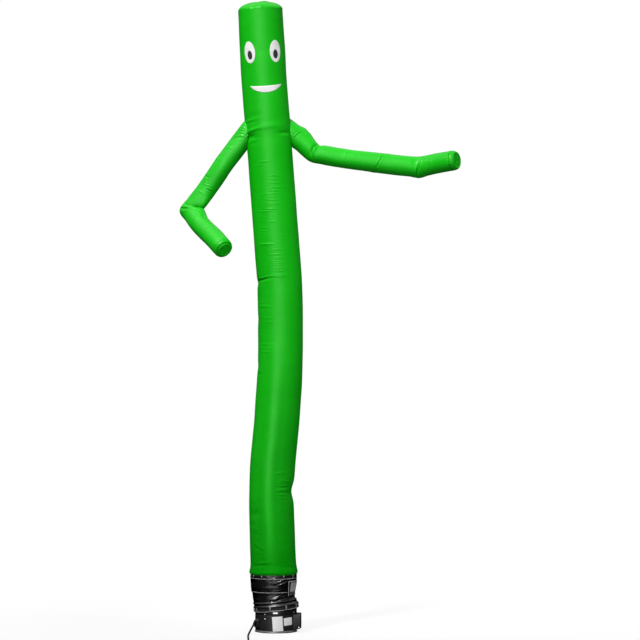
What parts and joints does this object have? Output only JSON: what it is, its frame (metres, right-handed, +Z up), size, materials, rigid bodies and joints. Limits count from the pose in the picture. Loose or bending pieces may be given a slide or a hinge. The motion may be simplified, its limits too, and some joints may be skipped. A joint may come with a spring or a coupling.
{
  "type": "inflatable air dancer and blower",
  "caption": "Tall green nylon tube figure with two bent arms and a sewn face, its black vinyl sleeve strapped on a drum-shaped fan blower that stands on the ground",
  "frame": {"origin": "centre of the blower's flat underside, on the ground", "axes": "+Z up the tube, -Y the side the face looks to, +X towards the arm that reaches out sideways"},
  "size_m": [2.8107, 1.6123, 6.2942],
  "materials": {
    "green_nylon": "light ripstop nylon, bright green, a soft sheen",
    "white_cloth": "white nylon, matt",
    "dark_cloth": "black nylon, matt",
    "black_vinyl": "black vinyl-coated cloth, glossy in its folds",
    "black_webbing": "black woven webbing",
    "black_plastic": "moulded black plastic, fine grain",
    "plate_plastic": "pale plastic plate, blank",
    "bright_metal": "plated steel",
    "black_rubber": "black rubber"
  },
  "bodies": {
    "root": {"body_tube": "green_nylon", "head_cap": "green_nylon", "arm_left": "green_nylon", "arm_right": "green_nylon", "hand_cap_left": "green_nylon", "hand_cap_right": "green_nylon", "eye_left": "white_cloth", "eye_right": "white_cloth", "mouth": "white_cloth", "pupil_left": "dark_cloth", "pupil_right": "dark_cloth", "sleeve_upper": "black_vinyl", "sleeve_lower": "black_vinyl", "sleeve_binding": "black_vinyl", "closure_flap": "black_vinyl", "closure_panel": "black_vinyl", "belt_loop_1": "black_vinyl", "belt_loop_2": "black_vinyl", "belt_loop_3": "black_vinyl", "belt_loop_4": "black_vinyl", "belt_loop_5": "black_vinyl", "belt_loop_6": "black_vinyl", "belt_loop_7": "black_vinyl", "belt_loop_8": "black_vinyl", "belt_loop_9": "black_vinyl", "hem_strap": "black_webbing", "cord_tie": "black_webbing", "blower_collar": "black_plastic", "blower_housing": "black_plastic", "blower_base": "black_plastic", "side_box": "black_plastic", "cord_gland": "black_plastic", "plate_large": "plate_plastic", "plate_small": "plate_plastic", "clip": "bright_metal", "rivet_1": "bright_metal", "rivet_2": "bright_metal", "rivet_3": "bright_metal", "box_screw": "bright_metal", "plug_blade_a": "bright_metal", "plug_blade_b": "bright_metal", "plug_earth_pin": "bright_metal", "strain_relief": "black_rubber", "cord_run": "black_rubber", "cord_coil": "black_rubber", "cord_tail": "black_rubber", "plug": "black_rubber"}
  },
  "joints": []
}
